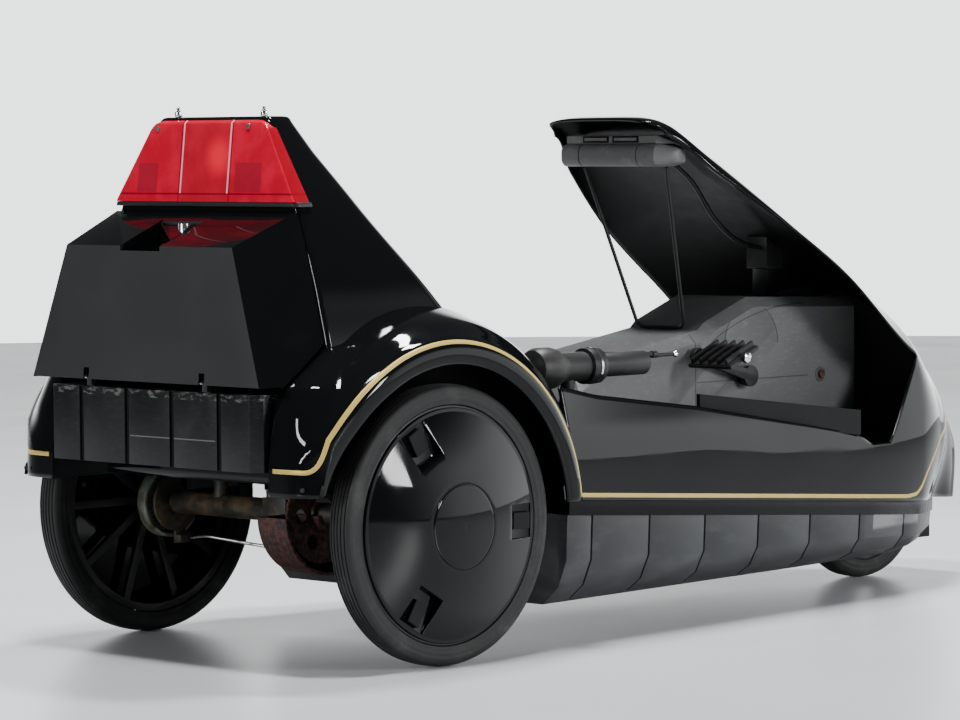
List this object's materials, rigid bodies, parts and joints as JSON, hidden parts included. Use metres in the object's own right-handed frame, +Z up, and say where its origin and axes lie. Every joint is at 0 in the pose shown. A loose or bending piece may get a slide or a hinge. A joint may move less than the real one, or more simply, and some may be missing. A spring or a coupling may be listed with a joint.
{
  "type": "three wheeled car",
  "caption": "Low single-seat pedal and electric car with an open cockpit under a rising nose, a tall tail tower with a lamp, a boot lid, turning wheels and joined steering.",
  "frame": {"origin": "on the floor, at the middle of the vehicle's length and width", "axes": "+X to the nose, +Y to the vehicle's left, +Z up"},
  "size_m": [1.744, 0.7426, 0.793],
  "materials": {
    "body_gloss": "high gloss black moulding",
    "belt_black": "dull black strip",
    "skirt_grey": "satin charcoal moulding",
    "panel_black": "satin black moulding",
    "lens_red": "clear red lens",
    "chrome": "plated",
    "frame_black": "worn black paint, rust brown at the axle",
    "frame_rust": "rusted steel",
    "drum_grey": "dull cast, greenish",
    "tyre": "ribbed black rubber",
    "rim_black": "black nylon moulding",
    "cover_black": "high gloss black cover",
    "console_grey": "scuffed grey moulding",
    "grip": "smooth dark grey grip",
    "clamp_black": "black moulding",
    "steel": "bare steel",
    "lamp_clear": "clear lens",
    "battery_grey": "plain case"
  },
  "bodies": {
    "body": {"upper_shell": "body_gloss", "belt_strip": "belt_black", "lower_shell": "skirt_grey", "rear_panel": "panel_black", "boot_floor": "belt_black", "tail_lamp_lens": "lens_red", "tail_lamp_base": "belt_black", "tail_lamp_knobs": "chrome", "chassis_frame": "frame_black", "gear_case": "frame_black", "drive_gear": "frame_rust", "brake_plate": "drum_grey", "brake_rod": "steel", "wheel_housing": "belt_black", "front_bulkhead": "panel_black", "console": "console_grey", "seat_base": "belt_black", "battery": "battery_grey", "instrument_pod": "console_grey", "stay_wire": "clamp_black", "junction_post": "clamp_black", "pod_cable": "clamp_black", "headlamp": "lamp_clear"},
    "wheel_left": {"tyre_left": "tyre", "rim_left": "rim_black", "cover_left": "cover_black", "brake_drum": "drum_grey"},
    "wheel_right": {"tyre_right": "tyre", "rim_right": "rim_black", "cover_right": "cover_black"},
    "fork": {"fork": "frame_black", "head_nut": "steel"},
    "wheel_front": {"tyre_front": "tyre", "rim_front": "rim_black"},
    "handlebar": {"handlebar": "clamp_black", "handlebar_grips": "grip", "bar_clamps": "clamp_black", "brake_levers": "steel"},
    "crank": {"crankset": "clamp_black"},
    "pedal_left": {"pedal_left": "clamp_black"},
    "pedal_right": {"pedal_right": "clamp_black"},
    "boot_lid": {"boot_lid": "panel_black", "lid_lock": "chrome"}
  },
  "joints": [
    {"name": "wheel_left_spin", "type": "hinge", "parent": "body", "child": "wheel_left", "pos_m": [-0.594, 0.318, 0.2], "axis": [0, 1, 0], "continuous": true},
    {"name": "wheel_right_spin", "type": "hinge", "parent": "body", "child": "wheel_right", "pos_m": [-0.594, -0.318, 0.2], "axis": [0, 1, 0], "continuous": true},
    {"name": "handlebar_steer", "type": "hinge", "parent": "body", "child": "handlebar", "pos_m": [-0.11, 0, 0.332], "axis": [0, 0, 1], "range_deg": [-17, 17]},
    {"name": "fork_steer", "type": "hinge", "parent": "body", "child": "fork", "pos_m": [0.706, 0, 0.15], "axis": [-0.2588, 0, 0.9659], "range_deg": [-17, 17]},
    {"name": "wheel_front_spin", "type": "hinge", "parent": "fork", "child": "wheel_front", "pos_m": [0.706, 0, 0.15], "axis": [0, 1, 0], "continuous": true},
    {"name": "crank_spin", "type": "hinge", "parent": "body", "child": "crank", "pos_m": [0.31, 0, 0.362], "axis": [0, 1, 0], "continuous": true},
    {"name": "pedal_left_spin", "type": "hinge", "parent": "crank", "child": "pedal_left", "pos_m": [0.434, 0.16, 0.324], "axis": [0, 1, 0], "continuous": true},
    {"name": "pedal_right_spin", "type": "hinge", "parent": "crank", "child": "pedal_right", "pos_m": [0.186, -0.16, 0.4], "axis": [0, 1, 0], "continuous": true},
    {"name": "boot_lid_hinge", "type": "hinge", "parent": "body", "child": "boot_lid", "pos_m": [-0.862, 0, 0.406], "axis": [0, -1, 0], "range_deg": [0, 85]}
  ],
  "couplings": [
    {"joint": "fork_steer", "follows": "handlebar_steer", "ratio": 1}
  ]
}
